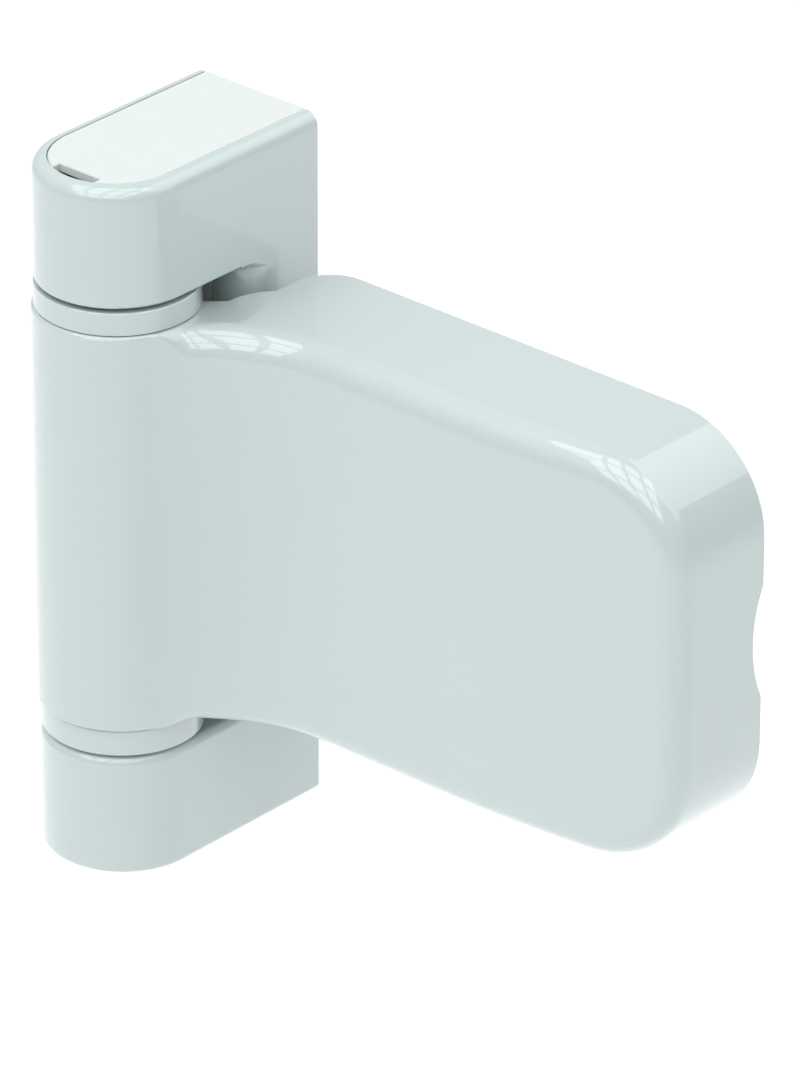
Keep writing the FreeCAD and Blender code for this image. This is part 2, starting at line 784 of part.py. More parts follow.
def bearing_ring(label, sign, radius, height, recessed):
    """Flanged bearing ring: the flange shows between knuckle and barrel, the spigot guides the sash."""
    base = (D.barrel_half + D.ring_gap) * sign
    outer = base + height * sign
    tip = base - D.spigot_length * sign
    bevel = D.ring_bevel * sign
    bore = D.pin_radius + D.fit
    corners = [(bore, tip), (D.spigot_radius, tip), (D.spigot_radius, base), (radius - D.ring_bevel, base),
               (radius, base + bevel), (radius, outer - bevel), (radius - D.ring_bevel, outer)]
    if recessed:
        recess = D.shoulder_radius + D.boss_play
        floor = D.shoulder_high * sign
        corners += [(recess, outer), (recess, floor), (bore, floor)]
    else:
        corners += [(bore, outer)]
    body = turned(label, tuple(corners))
    place(body)
    return body


# ---- sash part -----------------------------------------------------------------------------------


def sweep_points(inset):
    """Where an outline that lies inset inside the cover leaves the barrel and joins the flag."""
    around = D.barrel_radius + D.sweep_radius
    drop = D.flag_front - D.sweep_radius
    across = root(around * around - drop * drop)
    reach = (D.barrel_radius - inset) / around
    leave = (across * reach, drop * reach)
    return leave, across, drop


def sweep_depth(across, centre, drop, radius):
    """Depth of a hollow sweep about (centre, drop) at a place across."""
    run = centre - across
    return drop + root(radius * radius - run * run)


def front_depth(across, inset):
    """Depth of the front's gentle curve, or of one that lies inset behind it, at a place across."""
    bow = D.crown_radius - inset
    run = across - D.flat_end
    return D.flag_front + D.crown_radius - root(bow * bow - run * run)


def barrel_depth(across):
    """Depth of the barrel's outside behind the pin at a place across."""
    return root(D.barrel_radius * D.barrel_radius - across * across)


def cover_plan(sketch):
    """Outer plan of the whole sash part: barrel, hollow sweep, front face, flag and neck."""
    leave, across, drop = sweep_points(0)
    outline(sketch, (
        (-D.slit_left, barrel_depth(D.slit_left), D.barrel_radius, 1),
        (-D.barrel_radius, 0, D.barrel_radius, 1),
        (leave[0], leave[1], D.sweep_radius, -1),
        (D.fade_across, sweep_depth(D.fade_across, across, drop, D.sweep_radius), D.sweep_radius, -1),
        (D.part_across, sweep_depth(D.part_across, across, drop, D.sweep_radius), D.sweep_radius, -1),
        (D.blend_end, sweep_depth(D.blend_end, across, drop, D.sweep_radius), D.sweep_radius, -1),
        (across, D.flag_front),
        (D.flat_end, D.flag_front, D.crown_radius, 1),
        (D.flag_right, front_depth(D.flag_right, size(0))),
        (D.flag_right, D.flag_back),
        (D.flag_left + D.heel_radius, D.flag_back, D.heel_radius, 1),
        (D.flag_left, D.flag_back - D.heel_radius),
        (D.flag_left, D.neck_back, D.neck_round, 1),
        (D.bend_across, D.bend_depth),
        (D.neck_join, barrel_depth(D.neck_join), D.barrel_radius, 1)))


def elevation_corner(side, right, half, radius):
    """Elevation of the waste outside one rounded corner; side is +1 at the top."""

    def draw(sketch):
        far = right + OVERCUT
        high = (half + OVERCUT) * side
        outline(sketch, ((right - radius, half * side, radius, -side),
                         (right, (half - radius) * side), (far, (half - radius) * side),
                         (far, high), (right - radius, high)))

    return draw


def round_corners(body, right, half, radius):
    for name, side in (("upper_corner", 1), ("lower_corner", -1)):
        depth_cut(body, name, -D.barrel_radius, D.flag_back + OVERCUT * 2,
                  elevation_corner(side, right, half, radius))


def cover_blank():
    """The cover's outside as one solid block."""
    body = new_body("cover_blank")
    level_pad(body, "blank", -D.barrel_half, D.barrel_half, cover_plan)
    round_corners(body, D.flag_right, D.barrel_half, D.corner_radius)
    return body


def rounding_radii(shape):
    """Edge list for the cover's rounding, which is faint on the barrel and grows along the sweep."""
    leave, across, drop = sweep_points(0)
    bow_centre = D.flag_front.value + D.crown_radius.value
    full = D.edge_round.value
    part = D.round_part.value
    faint = D.round_faint.value
    growing = ((leave[0], faint, faint), (D.fade_across, faint, part), (D.part_across, part, full))
    radii = []
    for index, edge in enumerate(shape.Edges, 1):
        points = samples(edge)
        left = min(point.x for point in points)
        level = all(near(abs(point.z), D.barrel_half) for point in points)
        on_barrel = all(near(radius_at(point), D.barrel_radius) for point in points)
        on_sweep = all(near(radius_at(point, across.value, drop.value), D.sweep_radius) for point in points)
        on_front = all(near(point.y, D.flag_front) for point in points)
        on_bow = left > D.flat_end.value - TOLERANCE and all(
            near(radius_at(point, D.flat_end.value, bow_centre), D.crown_radius) for point in points)
        ends = None
        if level and on_barrel and points[3].y < D.barrel_radius.value / 2:
            ends = (faint, faint)
        elif (level and (on_sweep or on_front)) or on_bow:
            ends = (full, full)
        for start, first, last in growing:
            if level and on_sweep and near(left, start):
                ends = (first, last)
        if ends:
            # the upper edges run from right to left, the lower ones from left to right
            radii.append((index, ends[1], ends[0]) if points[0].z > 0 else (index, ends[0], ends[1]))
    return radii


def cover_core():
    """The cover's hollow, open at the back, as a solid to cut away."""
    body = new_body("cover_core")
    leave, across, drop = sweep_points(D.wall)
    inner = D.barrel_half - D.wall
    right = D.flag_right - D.wall
    radius = D.barrel_radius - D.wall
    slit = radius - D.slit_wall
    behind = D.flag_back + OVERCUT
    front = D.flag_front + D.wall

    def draw(sketch):
        outline(sketch, ((-radius, 0, radius, 1), (0, -radius, radius, 1),
                         (leave[0], leave[1], D.sweep_radius + D.wall, -1), (across, front),
                         (D.flat_end, front, D.crown_radius - D.wall, 1),
                         (right, front_depth(right, D.wall)), (right, behind), (-slit, behind), (-slit, 0)))

    level_pad(body, "hollow", -inner, inner, draw)
    round_corners(body, right, inner, D.corner_radius - D.wall)
    hole = D.boss_radius + D.boss_play
    end = D.barrel_half + OVERCUT
    level_pad(body, "pin_passage", -end, end, stadium(hole, D.passage_back))
    middle = D.flag_back - D.notch_depth + D.notch_radius
    side_pad(body, "notch", D.flag_right - D.notch_reach, D.flag_right + D.notch_reach,
             lambda sketch: circle(sketch, middle, D.notch_z, D.notch_radius))
    return body


def post_circles(radius):
    """Elevation of the two places where the cover's posts sit."""

    def draw(sketch):
        circle(sketch, D.post_x, D.post_z, radius)
        circle(sketch, D.post_x, -D.post_z, radius)

    return draw


def cover_posts():
    """Two posts inside the cover that push into the grommets."""
    body = new_body("cover_posts")
    rooted = D.flag_front + D.wall + D.post_root
    tip = D.plate_back - D.post_bevel
    depth_pad(body, "posts", rooted, tip, post_circles(D.post_radius))
    dress(body, "Chamfer", "tips", D.post_bevel, lambda p: near(p.y, tip))
    return body


def sash_cover():
    blank = cover_blank()
    rounded = DOC.addObject("Part::Fillet", "cover_rounded")
    rounded.Base = blank
    rounded.Edges = rounding_radii(blank.Shape)
    DOC.recompute()
    shell = DOC.addObject("Part::Cut", "cover_shell")
    shell.Base = rounded
    shell.Tool = cover_core()
    cover = DOC.addObject("Part::Fuse", "sash_cover")
    cover.Label = "sash_cover"
    cover.Base = shell
    cover.Tool = cover_posts()
    place(cover)
    DOC.recompute()
    return cover


def neck_plan(sketch):
    """Plan of the neck between the casting's barrel and the left side of the flag."""
    leave, across, drop = sweep_points(D.barrel_radius - D.casting_radius)
    hollow = D.sweep_radius + D.barrel_radius - D.casting_radius
    right = D.neck_right
    shoulder = D.flag_back - D.heel_radius
    heel_run = D.flag_left + D.heel_radius - right
    heel = shoulder + root(D.heel_radius * D.heel_radius - heel_run * heel_run)
    slope = (D.bend_depth - barrel_depth(D.neck_join)) / (D.bend_across - D.neck_join)
    inner = D.bend_depth - (D.bend_across - D.neck_inner) * slope
    outline(sketch, ((leave[0], leave[1], hollow, -1), (right, sweep_depth(right, across, drop, hollow)),
                     (right, heel, D.heel_radius, 1), (D.flag_left, shoulder),
                     (D.flag_left, D.neck_back, D.neck_round, 1), (D.bend_across, D.bend_depth),
                     (D.neck_inner, inner), (0, 0)))


def barrel_back_plan(sketch):
    """Plan of the casting's solid back, which fills the opening in the cover's barrel."""
    half = D.back_half
    reach = D.barrel_radius - D.back_play
    rim = root(reach * reach - half * half)
    outline(sketch, ((half, 0), (half, rim, reach, 1), (-half, rim), (-half, 0)))


def clamp_slots(sketch):
    """Two slots along X in which the clamp screws stay while the casting slides."""
    half = D.slot_half
    travel = D.slot_travel
    for centre in (D.clamp_first, D.clamp_second):
        outline(sketch, ((centre - travel, -half), (centre + travel, -half, half, 1),
                         (centre + travel + half, 0, half, 1),
                         (centre + travel, half), (centre - travel, half, half, 1),
                         (centre - travel - half, 0, half, 1)))


def sash_arm():
    """Casting inside the cover: barrel, neck, sliding plate and the lug for the lateral screw."""
    body = new_body("sash_arm")
    half = D.barrel_half - D.wall - D.casting_play
    level_pad(body, "barrel", -half, half, round_plan(0, D.casting_radius))
    level_pad(body, "barrel_back", -half, half, barrel_back_plan)
    level_pad(body, "neck", -half, half, neck_plan)
    boss = D.barrel_half + D.ring_gap
    level_pad(body, "bosses", -boss, boss - D.boss_step, round_plan(0, D.boss_radius))
    depth_pad(body, "plate", D.plate_front, D.plate_back,
              lambda sketch: box_outline(sketch, D.plate_left, D.plate_right, -D.plate_half, D.plate_half))
    for name, height in (("upper_rib", D.rib_z), ("lower_rib", -D.rib_z)):
        low = height - D.rib_half
        high = height + D.rib_half
        depth_pad(body, name, D.rib_front, D.plate_front,
                  lambda sketch: box_outline(sketch, D.plate_left, D.rib_right, low, high))
    side_pad(body, "lug", D.lug_left, D.lug_right,
             lambda sketch: box_outline(sketch, D.lug_front, D.plate_front, -D.lug_half, D.lug_half))
    level_cut(body, "bore", -boss, boss, round_plan(0, D.spigot_radius + D.fit))
    side_cut(body, "lug_bore", D.lug_left, D.lug_right, round_plan(D.lateral_axis, D.journal_radius + D.fit))
    depth_cut(body, "clamp_slots", D.plate_front, D.plate_back, clamp_slots)
    depth_cut(body, "grommet_holes", D.plate_front, D.plate_back, post_circles(D.grommet_hole))
    place(body)
    return body


def cover_grommets():
    """Two rubber sleeves in the sliding plate that grip the cover's posts."""
    body = new_body("cover_grommets")
    flange = D.plate_front - D.flange_thick
    depth_pad(body, "sleeves", D.plate_front, D.plate_back, post_circles(D.grommet_radius))
    depth_pad(body, "flanges", flange, D.plate_front, post_circles(D.flange_radius))
    depth_cut(body, "bores", flange, D.plate_back, post_circles(D.grommet_bore))
    place(body)
    return body


def barrel_liner():
    """Plain bearing sleeve in the casting, between the two bearing spigots."""
    body = new_body("barrel_liner")
    end = D.barrel_half + D.ring_gap - D.spigot_length - D.liner_gap

    def draw(sketch):
        circle(sketch, 0, 0, D.spigot_radius)
        circle(sketch, 0, 0, D.pin_radius + D.fit)

    level_pad(body, "sleeve", -end, end, draw)
    place(body)
    return body


def lateral_screw():
    """Adjusting screw along X: journal in the casting's lug, collar, threaded end and socket."""
    body = new_body("lateral_screw")
    for name, left, right, radius in (("journal", D.journal_left, D.collar_left, D.journal_radius),
                                      ("collar", D.collar_left, D.collar_right, D.collar_radius),
                                      ("thread", D.collar_right, D.lateral_end, D.lateral_radius)):
        side_pad(body, name, left, right, round_plan(D.lateral_axis, radius))
    side_cut(body, "socket", D.lateral_end - D.lateral_key_depth, D.lateral_end,
             hexagon(D.lateral_axis, D.lateral_key))
    across = D.lateral_radius + OVERCUT
    side_cut(body, "slit", D.lateral_end - D.cross_depth, D.lateral_end,
             lambda sketch: box_outline(sketch, D.lateral_axis - D.cross_half, D.lateral_axis + D.cross_half,
                                        -across, across))
    place(body)
    return body


def screw_clip():
    """E-clip on the journal's inner end."""
    body = new_body("screw_clip")

    def draw(sketch):
        circle(sketch, D.lateral_axis, 0, D.collar_radius)
        circle(sketch, D.lateral_axis, 0, D.journal_radius)

    side_pad(body, "ring", D.e_clip_left, D.e_clip_right, draw)
    outside = D.lateral_axis - D.collar_radius - OVERCUT
    side_cut(body, "mouth", D.e_clip_left, D.e_clip_right,
             lambda sketch: box_outline(sketch, outside, D.lateral_axis, -D.e_clip_mouth, D.e_clip_mouth))
    place(body)
    return body


# ---- base fixed to the door ----------------------------------------------------------------------


def rounded_plate(inset):
    """Elevation of the base plate, drawn in by inset, with its two right-hand corners rounded."""

    def draw(sketch):
        left = D.base_left + inset
        right = D.base_right - inset
        half = D.base_half - inset
        radius = D.base_corner - inset
        outline(sketch, ((left, -half), (right - radius, -half, radius, 1), (right, radius - half),
                         (right, half - radius, radius, 1), (right - radius, half), (left, half)))

    return draw


def door_circles(radius):
    def draw(sketch):
        for column in range(3):
            across = D.door_hole_x + D.door_hole_step * column
            circle(sketch, across, D.door_hole_z, radius)
            circle(sketch, across, -D.door_hole_z, radius)

    return draw


def clamp_circles(radius):
    def draw(sketch):
        circle(sketch, D.clamp_first, 0, radius)
        circle(sketch, D.clamp_second, 0, radius)

    return draw


def on_door_hole(point):
    """True on the front rim of a door screw hole."""
    column = (point.x - D.door_hole_x.value) % D.door_hole_step.value
    column = min(column, D.door_hole_step.value - column)
    row = abs(point.z) - D.door_hole_z.value
    return near(point.y, D.base_front) and near(math.hypot(column, row), D.screw_hole)


def base_plate():
    """Door side casting: floor, two guide rails and the lug that the lateral screw turns in."""
    body = new_body("base_plate")
    depth_pad(body, "floor", D.base_front, D.flag_back, rounded_plate(size(0)))
    for name, low, high in (("upper_rail", D.rail_low, D.rail_high),
                            ("lower_rail", -D.rail_high, -D.rail_low)):
        depth_pad(body, name, D.rail_front, D.base_front,
                  lambda sketch: box_outline(sketch, D.base_left, D.rail_right, low, high))
    side_pad(body, "nut_lug", D.nut_left, D.nut_right,
             lambda sketch: box_outline(sketch, D.nut_front, D.base_front, -D.nut_half, D.nut_half))
    side_cut(body, "nut_thread", D.nut_left, D.nut_right,
             round_plan(D.lateral_axis, D.lateral_radius + D.fit))
    depth_cut(body, "door_holes", D.base_front, D.flag_back, door_circles(D.screw_hole))
    depth_cut(body, "clamp_threads", D.base_front, D.flag_back, clamp_circles(D.clamp_radius + D.fit))
    dress(body, "Chamfer", "countersinks", D.door_countersink, on_door_hole)
    place(body)
    return body


def clamp_seat():
    """Depth at which the clamp screws' heads bear on their washers."""
    return D.plate_front - D.washer_thick - D.spring_thick


def clamp_screws():
    """Two button-head screws that lock the casting on the base plate."""
    body = new_body("clamp_screws")
    seat = clamp_seat()
    crown = seat - D.clamp_head_high
    depth_pad(body, "heads", crown, seat, clamp_circles(D.clamp_head))
    depth_pad(body, "shanks", seat, D.flag_back - D.clamp_short, clamp_circles(D.clamp_radius))
    dress(body, "Fillet", "crowns", D.clamp_crown, lambda p: near(p.y, crown))
    for name, axis in (("first_socket", D.clamp_first), ("second_socket", D.clamp_second)):
        depth_cut(body, name, crown, crown + D.clamp_key_depth, hexagon(axis, D.clamp_key))
    place(body)
    return body


def clamp_rings(label, near_side, thick, radius, split):
    """A washer under each clamp screw's head; split makes it a spring washer."""
    body = new_body(label)
    far_side = near_side + thick

    def draw(sketch):
        for axis in (D.clamp_first, D.clamp_second):
            circle(sketch, axis, 0, radius)
            circle(sketch, axis, 0, D.washer_bore)

    depth_pad(body, "discs", near_side, far_side, draw)
    if split:
        for name, axis in (("first_split", D.clamp_first), ("second_split", D.clamp_second)):
            left = axis - D.split_half
            right = axis + D.split_half
            depth_cut(body, name, near_side, far_side,
                      lambda sketch: box_outline(sketch, left, right, D.split_half, radius + OVERCUT))
    place(body)
    return body


def door_seal():
    """Rubber pad between base plate and door."""
    body = new_body("door_seal")
    depth_pad(body, "pad", D.flag_back, D.axis_standoff, rounded_plate(D.door_seal_inset))
    depth_cut(body, "holes", D.flag_back, D.axis_standoff, door_circles(D.screw_hole + D.hole_relief))
    place(body)
    return body


# ---- assembly ------------------------------------------------------------------------------------


def build():
    """Every sub-part, in the order in which the hinge goes together."""
    seat = clamp_seat()
    return (
        frame_bracket(),
        cap_plate("top_cap_plate", 1),
        cap_plate("bottom_cap_plate", -1),
        web_cover_strip(),
        frame_seal(),
        circlip("upper_circlip", 1),
        circlip("lower_circlip", -1),
        upper_eccentric_bush(),
        lower_eccentric_bush(),
        hinge_pin(),
        height_screw(),
        bearing_ring("upper_bearing_ring", 1, D.ring_radius_upper, D.ring_height_upper, False),
        bearing_ring("lower_bearing_ring", -1, D.ring_radius_lower, D.ring_height_lower, True),
        sash_arm(),
        sash_cover(),
        cover_grommets(),
        barrel_liner(),
        lateral_screw(),
        screw_clip(),
        base_plate(),
        clamp_screws(),
        clamp_rings("clamp_washers", seat + D.spring_thick, D.washer_thick, D.washer_radius, False),
        clamp_rings("spring_washers", seat, D.spring_thick, D.clamp_head, True),
        door_seal(),
    )


def check(parts):
    """Stop before writing anything if an object failed or a shape is not sound."""
    for item in DOC.Objects:
        if "Invalid" in item.State or "Error" in item.State:
            raise RuntimeError("%s (%s) failed: %s" % (item.Name, item.Label, item.State))
    for item in parts:
        if item.Shape.isNull() or not item.Shape.isValid() or not item.Shape.Solids:
            raise RuntimeError("%s has no sound shape" % item.Label)


def write(parts):
    os.makedirs("parts", exist_ok=True)
    for item in parts:
        item.Shape.exportStep("parts/%s.step" % item.Label)
        box = item.Shape.BoundBox
        print("%-22s %d solid(s) %9.1f mm3  x %.2f %.2f  y %.2f %.2f  z %.2f %.2f" % (
            item.Label, len(item.Shape.Solids), item.Shape.Volume,
            box.XMin, box.XMax, box.YMin, box.YMax, box.ZMin, box.ZMax))


fill_sheet()
PARTS = build()
DOC.recompute()
check(PARTS)
write(PARTS)
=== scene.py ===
import math

import bpy
from mathutils import Matrix, Vector


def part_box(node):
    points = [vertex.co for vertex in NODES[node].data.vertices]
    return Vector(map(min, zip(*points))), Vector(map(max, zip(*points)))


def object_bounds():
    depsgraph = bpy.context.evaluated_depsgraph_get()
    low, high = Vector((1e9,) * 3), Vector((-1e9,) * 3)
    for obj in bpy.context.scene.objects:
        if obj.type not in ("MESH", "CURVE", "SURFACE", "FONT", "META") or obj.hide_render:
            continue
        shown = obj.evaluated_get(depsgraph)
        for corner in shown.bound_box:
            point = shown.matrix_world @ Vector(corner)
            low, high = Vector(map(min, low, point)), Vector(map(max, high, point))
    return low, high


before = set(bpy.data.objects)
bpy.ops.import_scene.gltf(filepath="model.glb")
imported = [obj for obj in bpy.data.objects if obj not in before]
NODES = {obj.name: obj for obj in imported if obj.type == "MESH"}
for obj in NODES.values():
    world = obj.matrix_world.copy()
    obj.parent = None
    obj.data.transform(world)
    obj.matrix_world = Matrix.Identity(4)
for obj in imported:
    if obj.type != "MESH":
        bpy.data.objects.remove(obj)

CAD_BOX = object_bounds()

# A white three-part flag hinge in a plain studio. Every shape is the CAD model's own; this script
# gives each node its material and adds the camera, the lights and the floor. Lengths are metres,
# except where a name or a docstring says millimetres.

MILLIMETRES = 1000.0                   # in a metre


# ---- places and directions -------------------------------------------------------------------------


def pin_middle():
    """Middle of the hinge pin, level with the middle of the barrel."""
    low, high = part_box("sash_cover")
    pin_low, pin_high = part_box("hinge_pin")
    return Vector(((pin_low[0] + pin_high[0]) / 2, (pin_low[1] + pin_high[1]) / 2, (low[2] + high[2]) / 2))


def flag_middle():
    """The place that the lights are aimed at: halfway along the flag, in line with the pin."""
    return pin_middle() + Vector((CAD_BOX[1][0] / 2, 0, 0))


def direction(azimuth, elevation):
    """Unit vector from the hinge towards a place; azimuth 0 is the front, positive to the right."""
    return Vector((math.sin(azimuth) * math.cos(elevation),
                   -math.cos(azimuth) * math.cos(elevation),
                   math.sin(elevation)))


# ---- camera ----------------------------------------------------------------------------------------

VIEW_AZIMUTH = math.radians(41.51)     # the camera stands this far round from the front, to the right
VIEW_ELEVATION = math.radians(27.40)
VIEW_ROLL = math.radians(0.16)
VIEW_DISTANCE = 1.2148                 # from the pin to the camera
PAN_RIGHT = 0.0369                     # the camera is moved this far from the line to the pin
PAN_UP = -0.00406
SENSOR = 36.0                          # along the picture's long side, in millimetres
LENS = 310.8                           # focal length in millimetres
SHIFT = -0.0038                        # of the view, upwards, as a share of the long side
CLIP_END = 20.0


def add_camera():
    """The camera at the viewing angle, aimed beside the pin so that the whole hinge is in view."""
    look = -direction(VIEW_AZIMUTH, VIEW_ELEVATION)
    level_right = look.cross(Vector((0, 0, 1))).normalized()
    level_up = level_right.cross(look)
    right = math.cos(VIEW_ROLL) * level_right + math.sin(VIEW_ROLL) * level_up
    up = math.cos(VIEW_ROLL) * level_up - math.sin(VIEW_ROLL) * level_right
    place = pin_middle() - VIEW_DISTANCE * look + PAN_RIGHT * right + PAN_UP * up
    camera = bpy.data.cameras.new("camera")
    camera.sensor_width = SENSOR
    camera.lens = LENS
    camera.shift_y = SHIFT
    camera.clip_end = CLIP_END
    holder = bpy.data.objects.new("camera", camera)
    bpy.context.scene.collection.objects.link(holder)
    turn = Matrix((right, up, -look)).transposed()
    holder.matrix_world = Matrix.Translation(place) @ turn.to_4x4()
    bpy.context.scene.camera = holder


# ---- light and floor -------------------------------------------------------------------------------

SKY_COLOR = (0.97, 1.0, 1.0, 1.0)
SKY_STRENGTH = 0.70

SOFT_BOX_DISTANCE = 1.0                # from the flag's middle
SOFT_BOX_SIZE = 0.9
SOFT_BOX_ELEVATION = math.radians(50.0)
SOFT_BOXES = {                         # name: azimuth in degrees, power in watts
    "left": (-90.0, 2.2),
    "front_left": (-45.0, 2.1),
    "front": (0.0, 5.0),
    "right": (90.0, 3.5),
}

BACKDROP_PLACE = (-0.40, 0.85, 0.60)   # a light that shines straight down on the floor behind
BACKDROP_WIDTH = 1.4
BACKDROP_DEPTH = 1.0
BACKDROP_POWER = 4.0

WINDOW_AZIMUTH = math.radians(20.0)    # a window above the front, seen only in reflections
WINDOW_ELEVATION = math.radians(58.0)
WINDOW_DISTANCE = 1.0
WINDOW_HALF_WIDTH = math.radians(37.0)
WINDOW_HALF_HEIGHT = math.radians(40.0)
WINDOW_COLUMNS = 4
WINDOW_ROWS = 3
WINDOW_BAR = 0.16                      # thickness of the bars, as a share of a pane's height
WINDOW_RADIANCE = 1.45

REAR_AZIMUTH = math.radians(140.0)     # a pale panel behind on the right, seen only in reflections
REAR_ELEVATION = math.radians(46.0)
REAR_DISTANCE = 1.0
REAR_HALF_WIDTH = math.radians(32.0)
REAR_HALF_HEIGHT = math.radians(22.0)
REAR_RADIANCE = 0.75

FLOOR_DROP = 0.30                      # the floor lies this far below the hinge
FLOOR_SIZE = 6.0
FLOOR_COLOR = (0.97, 0.975, 0.975, 1)
FLOOR_ROUGHNESS = 0.9


def add_light(name, place, aim, width, height, power):
    """A rectangular light that faces aim; power is in watts."""
    light = bpy.data.lights.new(name, "AREA")
    light.shape = "RECTANGLE"
    light.size = width
    light.size_y = height
    light.energy = power
    holder = bpy.data.objects.new(name, light)
    bpy.context.scene.collection.objects.link(holder)
    holder.location = place
    holder.rotation_euler = (Vector(aim) - Vector(place)).to_track_quat("-Z", "Y").to_euler()
    return holder


def add_matt_light(name, place, aim, width, height, power):
    """A light for the matt colour underneath; glossy coats show no mirror image of it."""
    light = add_light(name, place, aim, width, height, power)
    light.visible_glossy = False


def add_mirrored_light(name, place, aim, width, height, radiance):
    """A light that is only seen as a mirror image in glossy coats."""
    light = add_light(name, place, aim, width, height, radiance * math.pi * width * height)
    light.visible_diffuse = False
    return light


def add_sky():
    world = bpy.data.worlds.new("studio")
    bpy.context.scene.world = world
    world.use_nodes = True
    background = world.node_tree.nodes["Background"]
    background.inputs["Color"].default_value = SKY_COLOR
    background.inputs["Strength"].default_value = SKY_STRENGTH


def add_window():
    """A window of separate panes above the front, so that rounded edges carry a striped highlight."""
    middle = flag_middle()
    towards = direction(WINDOW_AZIMUTH, WINDOW_ELEVATION)
    across = Vector((0, 0, 1)).cross(towards).normalized()
    up = towards.cross(across)
    turn = Matrix((across, up, towards)).transposed().to_4x4()
    pane_width = 2 * WINDOW_DISTANCE * math.tan(WINDOW_HALF_WIDTH) / WINDOW_COLUMNS
    pane_height = 2 * WINDOW_DISTANCE * math.tan(WINDOW_HALF_HEIGHT) / WINDOW_ROWS
    bar = WINDOW_BAR * pane_height
    width = pane_width - bar
    height = pane_height - bar
    for row in range(WINDOW_ROWS):
        for column in range(WINDOW_COLUMNS):
            side = (column - (WINDOW_COLUMNS - 1) / 2) * pane_width
            rise = (row - (WINDOW_ROWS - 1) / 2) * pane_height
            place = middle + WINDOW_DISTANCE * towards + side * across + rise * up
            name = "pane_%d_%d" % (row, column)
            pane = add_mirrored_light(name, place, middle, width, height, WINDOW_RADIANCE)
            pane.matrix_world = Matrix.Translation(place) @ turn


def add_rear_panel():
    """A pale panel that keeps the flag's rounded upper corner bright."""
    middle = flag_middle()
    place = middle + REAR_DISTANCE * direction(REAR_AZIMUTH, REAR_ELEVATION)
    width = 2 * REAR_DISTANCE * math.tan(REAR_HALF_WIDTH)
    height = 2 * REAR_DISTANCE * math.tan(REAR_HALF_HEIGHT)
    add_mirrored_light("rear_panel", place, middle, width, height, REAR_RADIANCE)


def add_soft_boxes():
    middle = flag_middle()
    for name, (azimuth, power) in SOFT_BOXES.items():
        towards = direction(math.radians(azimuth), SOFT_BOX_ELEVATION)
        place = middle + SOFT_BOX_DISTANCE * towards
        add_matt_light("soft_box_" + name, place, middle, SOFT_BOX_SIZE, SOFT_BOX_SIZE, power)


def add_backdrop_light():
    below = Vector(BACKDROP_PLACE) - Vector((0, 0, 1))
    add_matt_light("backdrop", BACKDROP_PLACE, below, BACKDROP_WIDTH, BACKDROP_DEPTH, BACKDROP_POWER)


def add_floor():
    bpy.ops.mesh.primitive_plane_add(size=FLOOR_SIZE, location=(0, 0, CAD_BOX[0][2] - FLOOR_DROP))
    floor = bpy.context.object
    floor.name = "floor"
    material = bpy.data.materials.new("floor_paint")
    material.use_nodes = True
    shader = material.node_tree.nodes["Principled BSDF"]
    shader.inputs["Base Color"].default_value = FLOOR_COLOR
    shader.inputs["Roughness"].default_value = FLOOR_ROUGHNESS
    floor.data.materials.append(material)


def add_studio():
    add_sky()
    add_window()
    add_rear_panel()
    add_soft_boxes()
    add_backdrop_light()
    add_floor()


# ---- materials -------------------------------------------------------------------------------------

NOISE_LOW = 0.3                        # nearly all of a noise texture's values lie between these
NOISE_HIGH = 0.7
GLOSS_IOR = 1.9                        # of the clear top layer on the white parts
TOOL_MARK = 0.12                       # how short a tool mark is across its run
ALL_WAYS = (1, 1, 1)
MARKS_UPRIGHT = (1, 1, TOOL_MARK)      # run round a piece that stands upright
MARKS_LEVEL = (TOOL_MARK, 1, 1)        # round one that lies along the flag
MARKS_CLAMP = (1, TOOL_MARK, 1)        # round one that points at the door
GROUND_SHADE = (0.66, 0.66, 0.67)
PLATED_SHADE = (0.60, 0.61, 0.63)
SPRING_SHADE = (0.17, 0.17, 0.18)
STEEL_DULLING = 0.92                   # the darker patches of bright steel, against its shade


